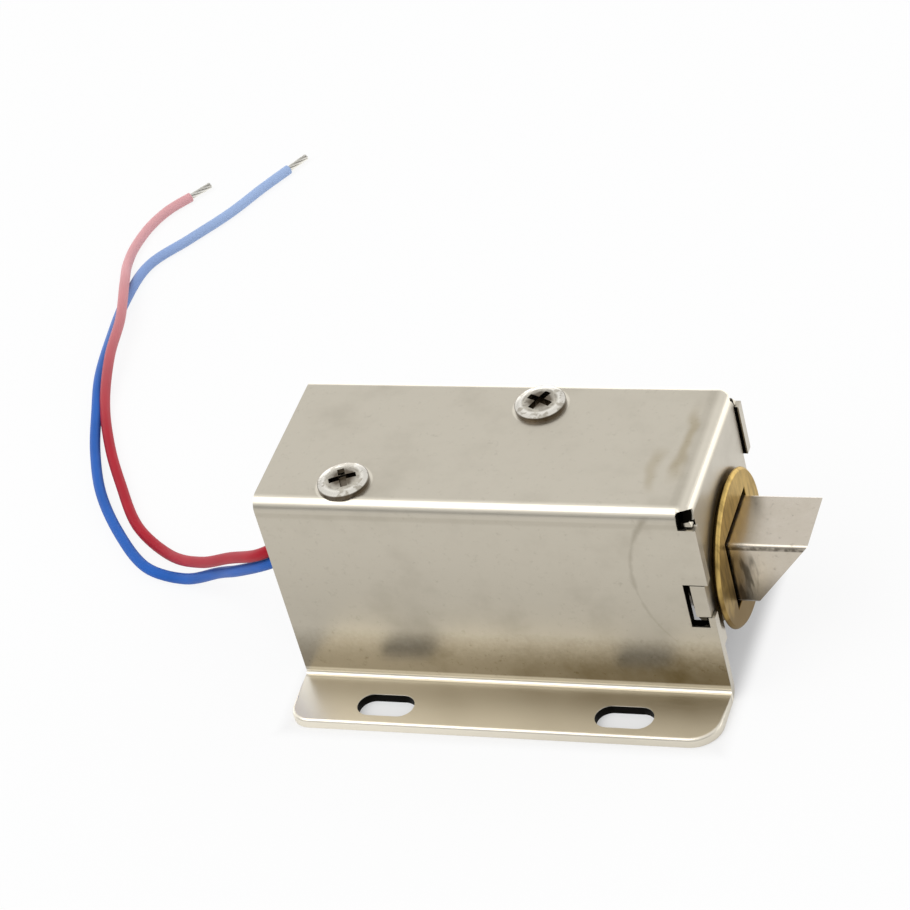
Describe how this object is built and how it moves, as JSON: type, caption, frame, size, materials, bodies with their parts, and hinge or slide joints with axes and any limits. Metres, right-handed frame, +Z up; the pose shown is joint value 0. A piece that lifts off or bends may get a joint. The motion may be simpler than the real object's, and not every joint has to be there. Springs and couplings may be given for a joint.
{
  "type": "solenoid lock",
  "caption": "Cabinet solenoid lock: a folded nickel-plated casing with slotted feet, a brass collar and a slanted spring bolt that a small coil draws in, with red and blue leads.",
  "frame": {"origin": "middle of the four mounting slots, on the mounting face", "axes": "+X along the bolt, the way it is thrown; +Z up from the mounting face; +Y across the casing, away from the side that the ear hooks into"},
  "size_m": [0.1173, 0.1128, 0.0289],
  "materials": {
    "nickel_plated_sheet": "satin nickel plate on cold-rolled steel sheet",
    "nickel_plated_screws": "bright nickel plate",
    "turned_brass": "turned and slightly dulled",
    "nickel_plated_bolt": "satin nickel plate",
    "black_nylon": "moulded nylon",
    "ground_steel": "ground soft iron",
    "spring_steel": "drawn spring wire",
    "tube_brass": "drawn brass tube",
    "zinc_plated_frame": "zinc plate",
    "black_rubber": "moulded nitrile rubber",
    "natural_nylon": "moulded nylon, natural white",
    "copper_wire": "enamelled copper wire",
    "polyester_tape": "yellow polyester tape",
    "heat_shrink": "shrunk polyolefin sleeve",
    "red_pvc": "extruded PVC insulation",
    "blue_pvc": "extruded PVC insulation",
    "tinned_copper": "tinned strands"
  },
  "bodies": {
    "lock": {"casing": "nickel_plated_sheet", "case_screws": "nickel_plated_screws", "collar": "turned_brass", "return_spring": "spring_steel", "pole_core": "ground_steel", "pole_shim": "tube_brass", "yoke": "zinc_plated_frame", "yoke_front_plate": "zinc_plated_frame", "bumper_washer": "black_rubber", "guide_tube": "tube_brass", "bobbin": "natural_nylon", "coil_winding": "copper_wire", "coil_tape": "polyester_tape", "lead_sleeves": "heat_shrink", "red_lead": "red_pvc", "blue_lead": "blue_pvc", "red_lead_end": "tinned_copper", "blue_lead_end": "tinned_copper"},
    "slide": {"bolt": "nickel_plated_bolt", "stop_washer": "black_nylon", "plunger": "ground_steel", "cross_pin": "ground_steel"}
  },
  "joints": [
    {"name": "bolt_slide", "type": "slide", "parent": "lock", "child": "slide", "axis": [1, 0, 0], "range_m": [-0.009, 0], "stiffness_N_per_m": 60, "springref_m": 0.015, "deforming": ["return_spring"]}
  ]
}
